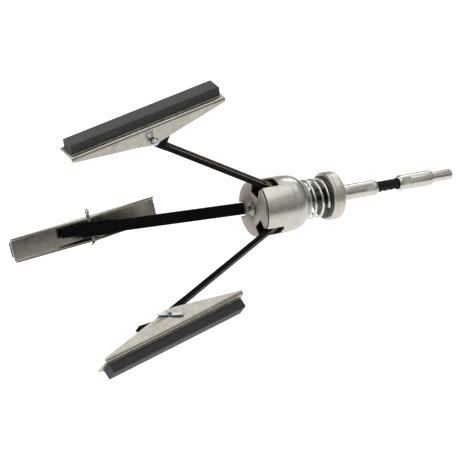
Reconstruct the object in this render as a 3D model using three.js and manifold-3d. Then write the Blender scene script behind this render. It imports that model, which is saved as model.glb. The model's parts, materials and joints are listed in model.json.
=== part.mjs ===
// Three-stone cylinder hone for a drill: a hub with three spring-loaded arms, each carrying a
// tilting stone carrier, driven through a short flexible cable. Millimetres, +Z up.
// The tool's axis is X: the shank's end face is at the origin and the stones point to -X.
import * as THREE from 'three';
import { mergeVertices, toCreasedNormals } from 'three/addons/utils/BufferGeometryUtils.js';
import Module from 'manifold-3d';

const wasm = await Module();
wasm.setup();

// ---- Driving dimensions (u is measured along the axis from the front plate's face, to the rear)
const SHANK_END = 151;
const SHANK_R = 3.6;
const SHANK_START = 123.5;

const COUPLING_START = 108.8;
const COUPLING_END = 135.2;
const COUPLING_R = 5.2;

const CABLE_R = 3.5;
const CABLE_START = 84;
const CABLE_END = 120;

const SPINDLE_R = 5.2;
const SPINDLE_END = 92;
const NECK_R = 4.2;
const NECK_END = 18.6;
const RIVET_R = 3.1;
const RIVET_HEAD_R = 4.4;

const PLATE_R = 17.5;
const PLATE_T = 1.6;
const NOTCH_W = 9.2;
const NOTCH_FLOOR = 10.2;

const CARRIER_R = 15.8;
const CARRIER_FRONT = 1.9;
const CARRIER_REAR = 17;
const CARRIER_BORE_R = 8.8;
const CARRIER_STEP = 9.2;
const SLOT_W = 8.4;

const SLEEVE_R = 18.2;
const SLEEVE_BORE_R = 16.2;
const SLEEVE_FRONT = 1.9;
const SLEEVE_FLOOR = 20.2;
const SLEEVE_REAR = 36.6;
const SLEEVE_SLOT_W = 9.4;
const SLEEVE_SLOT_END = 14.6;
const SHOULDER = 22.3;
const CONE_START = 28.6;
const CONE_END = 34.8;
const COLLAR_R = 12.9;
const SLIDE_BORE_R = 5.6;

const THRUST_R = 8.4;
const THRUST_FRONT = 13.4;

const SPRING_MEAN_R = 12.3;
const SPRING_WIRE_R = 0.85;
const SPRING_START = 36.9;
const SPRING_END = 50.2;
const SPRING_TURNS = 2.5;
const SPRING_CLOSING = 0.3;

const SEAT_FRONT = 50.5;
const SEAT_T = 1;
const SEAT_R = 13.8;

const NUT_FRONT = 51.8;
const NUT_REAR = 61.5;
const NUT_R = 15.5;
const NUT_BORE_R = 5.5;

const PIVOT_U = 13;
const PIVOT_R = 12.8;
const PIVOT_PIN_R = 1.25;
const PIVOT_PIN_LENGTH = 14;

const ARM_LENGTH = 108.7;
const ARM_WIDTH = 7.6;
const ARM_GAUGE = 1.1;
const WEB_INNER = -1.4;
const WALL_TOP = 1.8;
const HEAD_WIDTH = 9.4;
const TONGUE_WIDTH = 6.2;
const LUG_R = 2.9;
const TOE_LENGTH = 6.3;
const TOE_R = 1.3;
const TOE_WIDTH = 5;
const TOE_ANGLE = 14.3;

const PIN_OFFSET = 2.6;
const SPLIT_PIN_R = 1.25;

const SHOE_FRONT = -52.3;
const SHOE_REAR = 51.1;
const SHOE_WIDTH = 15.5;
const SHOE_GAUGE = 1.2;
const SHOE_TOP = 8.75;

const STONE_FRONT = -50.7;
const STONE_LENGTH = 100;
const STONE_WIDTH = 9.5;
const STONE_HEIGHT = 6.5;
const STONE_GAP = 0.3;

// Angles in degrees. Each arm stands at its own angle round the axis and opens to about 27 degrees,
// give or take the play of its toe. Each carrier hangs at its own tilt on its pin and with a little
// sideways play, because carriers are loose on their split pins.
const ARMS = [
  { name: 'top', around: 0, open: 28.4, tilt: 12.4, yaw: -3.7, pinTurn: 18 },
  { name: 'left', around: -120, open: 28, tilt: 1.4, yaw: 6.4, pinTurn: 55 },
  { name: 'right', around: 120, open: 25.4, tilt: -13.9, yaw: 0.2, pinTurn: 24 },
];

// Segments round a full turn: large turned pieces, then small ones.
const FINE = 48;
const PLAIN = 32;

const deg = THREE.MathUtils.degToRad;

// ---- Solid helpers
function toSolid(geometry) {
  const bare = geometry.clone();
  bare.deleteAttribute('normal');
  bare.deleteAttribute('uv');
  const merged = mergeVertices(bare, 1e-4);
  const p = merged.attributes.position.array;
  const faces = [];
  let volume = 0;
  for (let i = 0; i < merged.index.count; i += 3) {
    const [a, b, c] = [0, 1, 2].map((k) => merged.index.getX(i + k));
    if (a === b || b === c || c === a) continue;
    faces.push(a, b, c);
    const [va, vb, vc] = [a, b, c].map((k) => new THREE.Vector3().fromArray(p, 3 * k));
    volume += va.dot(vb.cross(vc));
  }
  if (volume < 0) {
    for (let i = 0; i < faces.length; i += 3) {
      [faces[i], faces[i + 1]] = [faces[i + 1], faces[i]];
    }
  }
  return new wasm.Manifold(new wasm.Mesh({
    numProp: 3,
    vertProperties: Float32Array.from(p),
    triVerts: Uint32Array.from(faces),
  }));
}

function toGeometry(solid) {
  const mesh = solid.getMesh();
  const geometry = new THREE.BufferGeometry();
  geometry.setAttribute('position', new THREE.BufferAttribute(mesh.vertProperties, 3));
  geometry.setIndex(new THREE.BufferAttribute(mesh.triVerts, 1));
  return toCreasedNormals(geometry, deg(32));
}

// A body of revolution about X from a closed loop of [u, radius] points.
function turned(loop, segments = PLAIN) {
  const points = loop.map(([u, r]) => new THREE.Vector2(r, u));
  points.push(points[0].clone());
  return toSolid(new THREE.LatheGeometry(points, segments).rotateZ(-Math.PI / 2));
}

// A prism across Y from a side outline of [x, z] points.
function crosswise(outline, width, middle = 0) {
  const shape = new THREE.Shape(outline.map(([x, z]) => new THREE.Vector2(x, z)));
  const geometry = new THREE.ExtrudeGeometry(shape, { depth: width, bevelEnabled: false });
  geometry.translate(0, 0, -width / 2);
  geometry.rotateX(Math.PI / 2);
  return toSolid(geometry.translate(0, middle, 0));
}

// A prism along X from a cross-section of [y, z] points.
function lengthwise(section, from, to) {
  const shape = new THREE.Shape(section.map(([y, z]) => new THREE.Vector2(y, z)));
  const geometry = new THREE.ExtrudeGeometry(shape, { depth: to - from, bevelEnabled: false });
  geometry.rotateY(Math.PI / 2);
  geometry.rotateX(Math.PI / 2);
  return toSolid(geometry.translate(from, 0, 0));
}

function block(x0, x1, y0, y1, z0, z1) {
  const box = new THREE.BoxGeometry(x1 - x0, y1 - y0, z1 - z0);
  return toSolid(box.translate((x0 + x1) / 2, (y0 + y1) / 2, (z0 + z1) / 2));
}

// A round bar along Y.
function crossBar(x, z, radius, length, segments = 20) {
  const bar = new THREE.CylinderGeometry(radius, radius, length, segments);
  return toSolid(bar.translate(x, 0, z));
}

function wire(curve, radius, steps, sides = 12) {
  const section = new THREE.Shape();
  section.absarc(0, 0, radius, 0, 2 * Math.PI);
  return toSolid(new THREE.ExtrudeGeometry(section, {
    steps,
    curveSegments: sides / 2,
    extrudePath: curve,
    bevelEnabled: false,
  }));
}

function turnAboutX(solid, degrees) {
  return solid.rotate([degrees, 0, 0]);
}

function arcPoints(cx, cz, radius, from, to, count) {
  return Array.from({ length: count + 1 }, (_, i) => {
    const angle = deg(from + ((to - from) * i) / count);
    return [cx + radius * Math.cos(angle), cz + radius * Math.sin(angle)];
  });
}

// ---- Materials
const finish = (color, metalness, roughness) =>
  new THREE.MeshStandardMaterial({ color, metalness, roughness });
const chrome = finish('#c9cacb', 1, 0.22);
const satinSteel = finish('#a79f95', 1, 0.38);
const aluminium = finish('#c3c4c4', 1, 0.34);
const springSteel = finish('#cfd2d3', 1, 0.2);
const zincSheet = finish('#b4b0a4', 1, 0.32);
const blackened = finish('#16181a', 0.6, 0.42);
const hardened = finish('#6c6e70', 1, 0.35);
const stoneGrey = finish('#3e4241', 0, 0.93);
const cableBlack = finish('#121315', 0.3, 0.5);

const hone = new THREE.Group();
hone.name = 'cylinder_hone';
hone.position.x = -SHANK_END;

function place(name, solid, material, parent = hone) {
  const mesh = new THREE.Mesh(toGeometry(solid), material);
  mesh.name = name;
  parent.add(mesh);
  return mesh;
}

// ---- Drive end
function drillShank() {
  return turned([
    [SHANK_START, 0],
    [SHANK_START, SHANK_R],
    [SHANK_END - 0.9, SHANK_R],
    [SHANK_END, SHANK_R - 0.9],
    [SHANK_END, 0],
  ]);
}

function crimpFlats(solid, from, to, flat) {
  let crimped = solid;
  for (let quarter = 0; quarter < 4; quarter += 1) {
    const shoe = block(from, to, -12, 12, flat, 12);
    crimped = crimped.subtract(turnAboutX(shoe, 45 + 90 * quarter));
  }
  return crimped;
}

function shankCoupling() {
  const bore = CABLE_R + 0.3;
  const shankBore = SHANK_R + 0.3;
  const body = turned([
    [COUPLING_START, bore],
    [CABLE_END + 0.6, bore],
    [CABLE_END + 1.6, 1.2],
    [SHANK_START - 0.6, 1.2],
    [SHANK_START - 0.4, shankBore],
    [COUPLING_END, shankBore],
    [COUPLING_END, 4.3],
    [COUPLING_END - 0.6, 4.9],
    [COUPLING_END - 2.2, COUPLING_R],
    [COUPLING_START + 1.6, COUPLING_R],
    [COUPLING_START, 4.4],
  ]);
  return crimpFlats(body, COUPLING_START + 1.6, COUPLING_START + 9.5, 4.5);
}

function flexCable() {
  return turned([[CABLE_START, 0], [CABLE_START, CABLE_R], [CABLE_END, CABLE_R], [CABLE_END, 0]]);
}

// ---- Hub
function spindle() {
  const socket = CABLE_R + 0.3;
  const body = turned([
    [-1.5, 0],
    [-1.5, 2.6],
    [-1.1, 3.7],
    [-0.3, RIVET_HEAD_R],
    [-0.3, RIVET_R],
    [CARRIER_FRONT - 0.1, RIVET_R],
    [CARRIER_FRONT - 0.1, NECK_R],
    [NECK_END, NECK_R],
    [NECK_END, SPINDLE_R],
    [SPINDLE_END - 2.4, SPINDLE_R],
    [SPINDLE_END - 0.7, 4.8],
    [SPINDLE_END, 4.2],
    [SPINDLE_END, socket],
    [CABLE_START - 0.4, socket],
    [CABLE_START - 1.6, 0],
  ]);
  return crimpFlats(body, SPINDLE_END - 10, SPINDLE_END - 3.4, 4.8);
}

function frontPlate() {
  let plate = turned([
    [0, 3.5],
    [0, PLATE_R - 0.5],
    [0.5, PLATE_R],
    [PLATE_T, PLATE_R],
    [PLATE_T, 3.5],
  ], FINE);
  for (const arm of ARMS) {
    const notch = block(-1, 3, -NOTCH_W / 2, NOTCH_W / 2, NOTCH_FLOOR, 20);
    plate = plate.subtract(turnAboutX(notch, arm.around));
  }
  return plate;
}

function armCarrier() {
  let core = turned([
    [CARRIER_FRONT, NECK_R + 0.3],
    [CARRIER_FRONT, CARRIER_R],
    [CARRIER_REAR, CARRIER_R],
    [CARRIER_REAR, CARRIER_BORE_R],
    [CARRIER_STEP, CARRIER_BORE_R],
    [CARRIER_STEP, NECK_R + 0.3],
  ], FINE);
  const half = SLOT_W / 2;
  for (const arm of ARMS) {
    const slot = block(0, 20, -half, half, NOTCH_FLOOR, 20);
    const toeRoom = block(CARRIER_STEP, 20, -half, half, 6, 12);
    const pinHole = crossBar(PIVOT_U, PIVOT_R, PIVOT_PIN_R + 0.3, 40);
    const cut = slot.add(toeRoom).add(pinHole);
    core = core.subtract(turnAboutX(cut, arm.around));
  }
  return core;
}

function pivotPin(around) {
  return turnAboutX(crossBar(PIVOT_U, PIVOT_R, PIVOT_PIN_R, PIVOT_PIN_LENGTH), around);
}

function hubSleeve() {
  let sleeve = turned([
    [SLEEVE_FRONT, SLEEVE_BORE_R],
    [SLEEVE_FLOOR, SLEEVE_BORE_R],
    [SLEEVE_FLOOR, SLIDE_BORE_R],
    [SLEEVE_REAR, SLIDE_BORE_R],
    [SLEEVE_REAR, COLLAR_R - 0.4],
    [SLEEVE_REAR - 0.4, COLLAR_R],
    [CONE_END + 0.9, COLLAR_R],
    [CONE_END, COLLAR_R + 0.4],
    [CONE_START + 2.6, SLEEVE_R - 2.1],
    [CONE_START, SLEEVE_R - 0.9],
    [SHOULDER + 3.6, SLEEVE_R - 0.35],
    [SHOULDER + 0.5, SLEEVE_R - 0.25],
    [SHOULDER, SLEEVE_R],
    [SLEEVE_FRONT + 0.4, SLEEVE_R],
    [SLEEVE_FRONT, SLEEVE_R - 0.4],
  ], FINE);
  for (const arm of ARMS) {
    const half = SLEEVE_SLOT_W / 2;
    const corner = 1.6;
    const outline = [
      [0, -half],
      ...arcPoints(SLEEVE_SLOT_END - corner, -half + corner, corner, -90, 0, 5),
      ...arcPoints(SLEEVE_SLOT_END - corner, half - corner, corner, 0, 90, 5),
      [0, half],
    ];
    const shape = new THREE.Shape(outline.map(([x, y]) => new THREE.Vector2(x, y)));
    const prism = new THREE.ExtrudeGeometry(shape, { depth: 12, bevelEnabled: false });
    const slot = toSolid(prism.translate(0, 0, 10));
    sleeve = sleeve.subtract(turnAboutX(slot, arm.around));
  }
  return sleeve;
}

function thrustRing() {
  return turned([
    [THRUST_FRONT, SLIDE_BORE_R],
    [THRUST_FRONT, THRUST_R - 0.4],
    [THRUST_FRONT + 0.4, THRUST_R],
    [SLEEVE_FLOOR - 0.3, THRUST_R],
    [SLEEVE_FLOOR - 0.3, SLIDE_BORE_R],
  ]);
}

function spring() {
  const start = SPRING_START + SPRING_WIRE_R;
  const rise = SPRING_END - SPRING_WIRE_R - start;
  class Coil extends THREE.Curve {
    getPoint(t, target = new THREE.Vector3()) {
      const ease = t - Math.sin(2 * Math.PI * t) * SPRING_CLOSING / (2 * Math.PI);
      const angle = 2 * Math.PI * SPRING_TURNS * t;
      const y = SPRING_MEAN_R * Math.cos(angle);
      const z = SPRING_MEAN_R * Math.sin(angle);
      return target.set(start + rise * ease, y, z);
    }
  }
  return wire(new Coil(), SPRING_WIRE_R, 70, 8);
}

function springSeat() {
  return turned([
    [SEAT_FRONT, NUT_BORE_R],
    [SEAT_FRONT, SEAT_R - 0.4],
    [SEAT_FRONT + 0.4, SEAT_R],
    [SEAT_FRONT + SEAT_T, SEAT_R],
    [SEAT_FRONT + SEAT_T, NUT_BORE_R],
  ]);
}

function tensionNut() {
  return turned([
    [NUT_FRONT, NUT_BORE_R],
    [NUT_FRONT, NUT_R - 1],
    [NUT_FRONT + 0.8, NUT_R],
    [NUT_FRONT + 2.2, NUT_R],
    [NUT_FRONT + 2.6, NUT_R - 0.4],
    [NUT_FRONT + 3, NUT_R],
    [NUT_REAR - 2.4, NUT_R],
    [NUT_REAR - 1.1, NUT_R - 0.6],
    [NUT_REAR - 0.3, NUT_R - 1.8],
    [NUT_REAR, NUT_R - 3.2],
    [NUT_REAR, NUT_BORE_R + 0.6],
    [NUT_REAR - 4, NUT_BORE_R + 0.6],
    [NUT_REAR - 4.6, NUT_BORE_R],
  ], FINE);
}

// ---- Arm: channel section, pivot at the local origin, running to -X, open side to +Z
function armOutline() {
  const pin = -ARM_LENGTH;
  return [
    [-2, WEB_INNER],
    [pin - 8, WEB_INNER],
    [pin - 18.4, WEB_INNER - 3.5],
    [pin - 18.6, WEB_INNER - 2.6],
    [pin - 17, WEB_INNER - 1.2],
    [pin - 14, WEB_INNER + 0.6],
    [pin - 8, WALL_TOP - 0.9],
    [pin - 6.5, WALL_TOP],
    [pin - 4.6, PIN_OFFSET + 2.6],
    [pin - 1, PIN_OFFSET + 4.6],
    [pin + 9.5, PIN_OFFSET + 6.9],
    [pin + 11.6, PIN_OFFSET + 7],
    [pin + 12.4, PIN_OFFSET + 6.2],
    [pin + 14.3, WALL_TOP - 0.4],
    [pin + 17, WALL_TOP],
    [-2, WALL_TOP],
  ];
}

// The arm's plan: half-widths at stations along it, less `wall` on each side, from z0 to z1.
function planSlab(stations, wall, z0, z1) {
  const side = stations.map(([x, half]) => [x, half - wall]);
  const points = [...side, ...side.map(([x, half]) => [x, -half]).reverse()];
  const shape = new THREE.Shape(points.map(([x, y]) => new THREE.Vector2(x, y)));
  const geometry = new THREE.ExtrudeGeometry(shape, { depth: z1 - z0, bevelEnabled: false });
  return toSolid(geometry.translate(0, 0, z0));
}

function arm() {
  const pin = -ARM_LENGTH;
  const middle = [
    [pin - 8.5, TONGUE_WIDTH / 2],
    [pin - 5.5, HEAD_WIDTH / 2],
    [pin + 12.5, HEAD_WIDTH / 2],
    [pin + 19, ARM_WIDTH / 2],
  ];
  const outer = [[pin - 22, TONGUE_WIDTH / 2], ...middle, [1, ARM_WIDTH / 2]];
  const inner = [[pin - 17.5, TONGUE_WIDTH / 2], ...middle, [-7, ARM_WIDTH / 2]];
  const plan = planSlab(outer, 0, -12, 30);
  const inside = planSlab(inner, ARM_GAUGE, WEB_INNER + ARM_GAUGE, 30);
  const channel = crosswise(armOutline(), HEAD_WIDTH + 2).intersect(plan).subtract(inside);
  const lug = crossBar(0, 0, LUG_R, ARM_WIDTH, 28);
  const toeX = TOE_LENGTH * Math.sin(deg(TOE_ANGLE));
  const toeZ = -TOE_LENGTH * Math.cos(deg(TOE_ANGLE));
  const across = [Math.cos(deg(TOE_ANGLE)) * TOE_R, Math.sin(deg(TOE_ANGLE)) * TOE_R];
  const stem = crosswise([
    [-across[0], -across[1]],
    [toeX - across[0], toeZ - across[1]],
    [toeX + across[0], toeZ + across[1]],
    [across[0], across[1]],
  ], TOE_WIDTH);
  const toe = crossBar(toeX, toeZ, TOE_R, TOE_WIDTH, 16);
  const pivotHole = crossBar(0, 0, PIVOT_PIN_R + 0.3, 20);
  const headHole = crossBar(pin, PIN_OFFSET, SPLIT_PIN_R + 0.95, 20);
  return channel.add(lug).add(stem).add(toe).subtract(pivotHole).subtract(headHole);
}

// ---- Stone carrier, pin at the local origin, stone on the +Z side, +X to the rear
function shoe() {
  const half = SHOE_WIDTH / 2;
  const inner = half - SHOE_GAUGE;
  const bend = 1.7;
  const low = -4.4;
  const section = [
    [half, low],
    ...arcPoints(half - bend, SHOE_TOP - bend, bend, 0, 90, 6),
    ...arcPoints(-half + bend, SHOE_TOP - bend, bend, 90, 180, 6),
    [-half, low],
    [-inner, low],
    ...arcPoints(-inner + 0.5, SHOE_TOP - SHOE_GAUGE - 0.5, 0.5, 180, 90, 3),
    ...arcPoints(inner - 0.5, SHOE_TOP - SHOE_GAUGE - 0.5, 0.5, 90, 0, 3),
    [inner, low],
  ];
  const outline = [
    [SHOE_FRONT, SHOE_TOP + 1],
    [SHOE_FRONT, 6.2],
    [SHOE_FRONT + 0.5, 5.6],
    [-7.4, -2.3],
    [-4.6, -3.5],
    [-1.6, -4],
    [1.6, -3.9],
    [4.6, -3.3],
    [SHOE_REAR - 0.8, 5.5],
    [SHOE_REAR, 6.2],
    [SHOE_REAR, SHOE_TOP + 1],
  ];
  const sheet = lengthwise(section, SHOE_FRONT - 1, SHOE_REAR + 1);
  const cut = sheet.intersect(crosswise(outline, SHOE_WIDTH + 2));
  return cut.subtract(crossBar(0, 0, SPLIT_PIN_R + 0.3, 30));
}

function stone() {
  const half = STONE_WIDTH / 2;
  const low = SHOE_TOP + STONE_GAP;
  const high = low + STONE_HEIGHT;
  const edge = 0.35;
  const section = [
    [half, low],
    [half, high - edge],
    [half - edge, high],
    [-half + edge, high],
    [-half, high - edge],
    [-half, low],
  ];
  const bar = lengthwise(section, STONE_FRONT, STONE_FRONT + STONE_LENGTH);
  const end = STONE_FRONT + STONE_LENGTH;
  const nick = crosswise([[end - 0.9, high + 0.1], [end + 0.1, high + 0.1], [end + 0.1, high - 0.8]], 30);
  return bar.subtract(nick);
}

// Split pin along Y: eye on the -Y side, two legs bent apart on the +Y side.
function splitPin() {
  const side = SHOE_WIDTH / 2;
  const thin = 0.8;
  const shaft = crossBar(0, 0, SPLIT_PIN_R, 2 * side + 1.2, 16);
  const eyeMiddle = -side - 0.9 - 2.2;
  const ring = new THREE.TorusGeometry(2.1, thin, 8, 20);
  const eye = toSolid(ring.translate(0, eyeMiddle, 0));
  let pin = shaft.add(eye);
  for (const way of [-1, 1]) {
    const leg = new THREE.CatmullRomCurve3([
      new THREE.Vector3(0.35 * way, side - 1.2, 0),
      new THREE.Vector3(0.45 * way, side + 0.5, 0),
      new THREE.Vector3(1.6 * way, side + 1.35, 0),
      new THREE.Vector3(4.5 * way, side + 1.5, 0),
      new THREE.Vector3(8.8 * way, side + 1.3, 0),
    ], false, 'centripetal');
    pin = pin.add(wire(leg, thin, 12, 8));
  }
  return pin;
}

// ---- Assembly
place('drill_shank', drillShank(), chrome);
place('shank_coupling', shankCoupling(), chrome);
place('flex_cable', flexCable(), cableBlack);
place('spindle', spindle(), chrome);
place('front_plate', frontPlate(), satinSteel);
place('arm_carrier', armCarrier(), hardened);
place('hub_sleeve', hubSleeve(), aluminium);
place('thrust_ring', thrustRing(), hardened);
place('spring', spring(), springSteel);
place('spring_seat', springSeat(), satinSteel);
place('tension_nut', tensionNut(), satinSteel);

const armSolid = arm();
const shoeSolid = shoe();
const stoneSolid = stone();
const splitPinSolid = splitPin();

for (const spec of ARMS) {
  place(`pivot_pin_${spec.name}`, pivotPin(spec.around), hardened);
  const spoke = new THREE.Group();
  spoke.rotation.x = deg(spec.around);
  hone.add(spoke);
  const swing = new THREE.Group();
  swing.position.set(PIVOT_U, 0, PIVOT_R);
  swing.rotation.y = deg(spec.open);
  spoke.add(swing);
  place(`arm_${spec.name}`, armSolid, blackened, swing);
  const carrier = new THREE.Group();
  carrier.position.set(-ARM_LENGTH, 0, PIN_OFFSET);
  carrier.rotation.order = 'YZX';
  carrier.rotation.y = -deg(spec.open + spec.tilt);
  carrier.rotation.z = -deg(spec.yaw);
  swing.add(carrier);
  place(`shoe_${spec.name}`, shoeSolid, zincSheet, carrier);
  place(`stone_${spec.name}`, stoneSolid, stoneGrey, carrier);
  const pinTurn = new THREE.Group();
  pinTurn.rotation.y = -deg(spec.pinTurn);
  carrier.add(pinTurn);
  place(`split_pin_${spec.name}`, splitPinSolid, springSteel, pinTurn);
}

const assembly = new THREE.Group();
assembly.name = 'assembly';
assembly.add(hone);
export default assembly;
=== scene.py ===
# Looks of a three-stone cylinder hone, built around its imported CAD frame. Metres, +Z up.
# The tool's axis is X: the shank's end face is at the origin and the stones point to -X.
import json
import math
import bmesh
import bpy
from mathutils import Matrix, Vector, noise


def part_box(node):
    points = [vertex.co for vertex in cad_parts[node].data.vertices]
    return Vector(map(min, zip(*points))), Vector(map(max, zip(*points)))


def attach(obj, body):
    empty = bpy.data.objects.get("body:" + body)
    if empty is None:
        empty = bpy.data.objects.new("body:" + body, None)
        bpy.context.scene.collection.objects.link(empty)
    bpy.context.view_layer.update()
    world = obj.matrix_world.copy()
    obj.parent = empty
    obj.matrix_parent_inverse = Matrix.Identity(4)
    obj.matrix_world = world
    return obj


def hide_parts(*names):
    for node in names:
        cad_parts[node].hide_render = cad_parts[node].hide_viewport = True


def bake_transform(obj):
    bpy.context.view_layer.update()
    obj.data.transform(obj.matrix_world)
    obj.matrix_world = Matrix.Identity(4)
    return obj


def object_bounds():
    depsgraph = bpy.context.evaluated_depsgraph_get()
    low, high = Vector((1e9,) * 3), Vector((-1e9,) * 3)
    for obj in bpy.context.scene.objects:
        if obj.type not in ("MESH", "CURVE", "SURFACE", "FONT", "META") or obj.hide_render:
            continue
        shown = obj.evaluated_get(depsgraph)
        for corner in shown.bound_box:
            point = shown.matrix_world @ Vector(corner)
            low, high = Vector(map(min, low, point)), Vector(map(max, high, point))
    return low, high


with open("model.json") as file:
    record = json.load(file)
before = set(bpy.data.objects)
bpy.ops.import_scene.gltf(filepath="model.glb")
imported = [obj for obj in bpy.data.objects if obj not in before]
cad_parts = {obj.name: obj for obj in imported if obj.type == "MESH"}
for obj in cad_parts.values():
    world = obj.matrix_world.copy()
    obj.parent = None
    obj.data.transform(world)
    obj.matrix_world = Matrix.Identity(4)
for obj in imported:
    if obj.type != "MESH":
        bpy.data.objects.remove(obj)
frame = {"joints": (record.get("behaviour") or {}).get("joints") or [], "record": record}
cad_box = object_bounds()
scene = bpy.context.scene
MM = 0.001

# ---- Camera
CAMERA_PLACE = (-702.929, -845.341, 592.952)
CAMERA_RIGHT = (0.87368, -0.47235, 0.11645)
CAMERA_UP = (0.16024, 0.50542, 0.84787)
CAMERA_LENS = 146.414


def columns(x, y, z, origin):
    """The placement whose axes are x, y and z and whose origin is there."""
    turn = Matrix((x, y, z)).transposed()
    return Matrix.Translation(origin) @ turn.to_4x4()


def make_camera():
    right = Vector(CAMERA_RIGHT).normalized()
    back = right.cross(Vector(CAMERA_UP)).normalized()
    data = bpy.data.cameras.new("camera")
    data.lens = CAMERA_LENS
    data.sensor_width = 36
    data.clip_start = 0.05
    data.clip_end = 20
    camera = bpy.data.objects.new("camera", data)
    scene.collection.objects.link(camera)
    camera.matrix_world = columns(right, back.cross(right), back, Vector(CAMERA_PLACE) * MM)
    scene.camera = camera


make_camera()
scene.view_settings.view_transform = "Standard"

# ---- Driving dimensions, in mm. u is measured along the axis from the front plate's face.
FACE_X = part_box("front_plate")[0].x / MM
RIVET_R = 3.1
NECK_START = 1.8
NECK_R = 4.2
NECK_END = 18.6
PLATE_R = 17.5
PLATE_BORE_R = 3.5
PLATE_T = 1.6
NOTCH_W = 9.2
NOTCH_FLOOR = 10.2
CARRIER_R = 15.8
CARRIER_FRONT = 1.9
CARRIER_REAR = 17
CARRIER_BORE_R = 8.8
CARRIER_STEP = 9.2
SLOT_W = 8.4
SLEEVE_R = 18.2
SLEEVE_BORE_R = 16.2
SLEEVE_FRONT = 1.9
SLEEVE_FLOOR = 20.2
SLEEVE_SLOT_W = 9.4
SLEEVE_SLOT_END = 14.6
SLEEVE_REAR = 36.6
SHOULDER = 22.3
CONE_START = 28.6
CONE_END = 34.8
COLLAR_R = 12.9
SLIDE_BORE_R = 5.6
THRUST_R = 8.4
THRUST_FRONT = 13.4
THRUST_REAR = 19.9
SPINDLE_R = 5.2
SPINDLE_END = 92
CABLE_R = 3.5
CABLE_START = 84
CABLE_END = 120
CABLE_STRANDS = 6
STRAND_R = 1.22
STRAND_LAY = 26
CRIMP_SKIN_R = 4.3
CRIMP_SIDES = 4
COUPLING_R = 5.2
COUPLING_START = 108.8
COUPLING_END = 135.2
SHANK_R = 3.6
SHANK_START = 123.5
SHANK_END = 151
SPRING_MEAN_R = 12.3
SPRING_WIRE_R = 0.85
SPRING_START = 36.9
SPRING_END = 50.2
SPRING_TURNS = 2.5
SPRING_CLOSING = 0.3
SPRING_STEPS = 300
SEAT_FRONT = 50.5
SEAT_T = 1
SEAT_R = 13.8
NUT_FRONT = 51.8
NUT_REAR = 61.5
NUT_R = 15.5
NUT_BORE_R = 5.5
THREAD_START = 38
THREAD_END = 66
THREAD_PITCH = 1
THREAD_DEPTH = 0.22
PIVOT_U = 13
PIVOT_R = 12.8
PIVOT_PIN_R = 1.25
PIVOT_PIN_LENGTH = 14
LUG_R = 2.9
ARM_LENGTH = 108.7
ARM_WIDTH = 7.6
ARM_GAUGE = 1.1
HEAD_WIDTH = 9.4
TONGUE_WIDTH = 6.2
WEB_INNER = -1.4
WALL_TOP = 1.8
PIN_OFFSET = 2.6
SPLIT_PIN_R = 1.25
SPLIT_WIRE_R = 0.92
TOE_LENGTH = 6.3
TOE_R = 1.3
TOE_WIDTH = 5
TOE_ANGLE = math.radians(14.3)
EAR_REAR = 17
SHOE_FRONT = -52.3
SHOE_REAR = 51.1
SHOE_WIDTH = 15.5
SHOE_GAUGE = 1.2
SHOE_TOP = 8.75
SHOE_LOW = -4.4
STONE_FRONT = -50.7
STONE_LENGTH = 100
STONE_WIDTH = 9.5
STONE_HEIGHT = 6.5
STONE_GAP = 0.3
SIDES = {"top": 0, "left": -120, "right": 120}
PIN_TURN = {"top": 18, "left": 55, "right": 24}

# A distance from the axis beyond everything on the hub, where its cutters end.
CLEAR = 24


# ---- Mesh helpers. Outlines are lists of (a, b) corners, or (a, b, radius) for a rounded one.
def rounded(corners, steps=4):
    """The outline with each corner that has a radius turned into an arc."""
    points = []
    for i, corner in enumerate(corners):
        here = Vector(corner[:2])
        if len(corner) < 3:
            points.append(here)
            continue
        before = Vector(corners[i - 1][:2]) - here
        after = Vector(corners[(i + 1) % len(corners)][:2]) - here
        half = before.angle(after) / 2
        reach = min(corner[2] / math.tan(half), 0.48 * before.length, 0.48 * after.length)
        radius = reach * math.tan(half)
        a, b = before.normalized(), after.normalized()
        centre = here + (a + b).normalized() * (radius / math.sin(half))
        start, end = here + a * reach - centre, here + b * reach - centre
        turn = math.copysign(math.pi - 2 * half, start.cross(end))
        for k in range(steps + 1):
            points.append(centre + Matrix.Rotation(turn * k / steps, 2) @ start)
    return [tuple(p) for p in points]


def new_object(name, mesh_data):
    obj = bpy.data.objects.new(name, mesh_data)
    scene.collection.objects.link(obj)
    return obj


def from_bmesh(name, bm):
    """An object from a bmesh in mm, with its faces pointing out."""
    bmesh.ops.remove_doubles(bm, verts=bm.verts, dist=1e-5)
    bmesh.ops.recalc_face_normals(bm, faces=bm.faces)
    bmesh.ops.scale(bm, vec=(MM, MM, MM), verts=bm.verts)
    data = bpy.data.meshes.new(name)
    bm.to_mesh(data)
    bm.free()
    return new_object(name, data)


def loft(name, rings, capped=True, looped=False):
    """Joins rings of equally many points, in mm, into one skin."""
    bm = bmesh.new()
    rows = [[bm.verts.new(p) for p in ring] for ring in rings]
    pairs = list(zip(rows, rows[1:]))
    if looped:
        pairs.append((rows[-1], rows[0]))
    for one, two in pairs:
        for i in range(len(one)):
            j = (i + 1) % len(one)
            bm.faces.new((one[i], one[j], two[j], two[i]))
    if capped and not looped:
        bm.faces.new(rows[0])
        bm.faces.new(list(reversed(rows[-1])))
    return from_bmesh(name, bm)


def lathe(name, profile, segments=192):
    """A turned piece about X from a closed outline of (u, radius) corners."""
    loop = [(FACE_X + u, max(r, 0.0)) for u, r in rounded(profile)]
    rings = []
    for k in range(segments):
        angle = 2 * math.pi * k / segments
        rings.append([(x, r * math.cos(angle), r * math.sin(angle)) for x, r in loop])
    return loft(name, rings, looped=True)


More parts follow.
